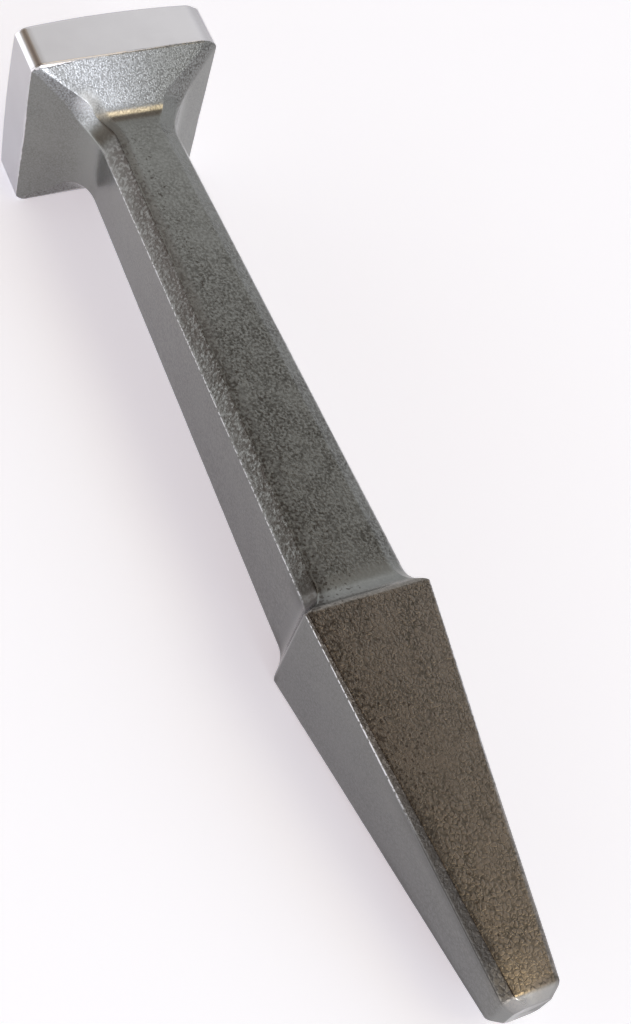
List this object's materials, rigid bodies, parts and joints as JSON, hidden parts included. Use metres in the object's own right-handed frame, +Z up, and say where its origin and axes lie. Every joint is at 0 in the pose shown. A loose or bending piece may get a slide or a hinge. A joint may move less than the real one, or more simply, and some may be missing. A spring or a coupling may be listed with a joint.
{
  "type": "square-headed bench stake",
  "caption": "Forged bench stake with a polished square block head, a flared neck, a chamfered shank and a tapered tang.",
  "frame": {"origin": "under the middle of the stake's box, on the plane on which the stake lies", "axes": "+X from the head towards the tang, +Y across the stake, +Z up; the tool's own axis drops 2.9 degrees towards the tang, because the stake lies on the head's lower edge and the shoulder's lower edge"},
  "size_m": [0.2634, 0.05, 0.0507],
  "materials": {
    "polished_head": "polished",
    "hammertone_paint": "hammertone gloss"
  },
  "bodies": {
    "root": {"face_block": "polished_head", "neck": "hammertone_paint", "shank": "hammertone_paint", "shoulder": "hammertone_paint", "tang": "hammertone_paint", "tang_end": "hammertone_paint"}
  },
  "joints": []
}
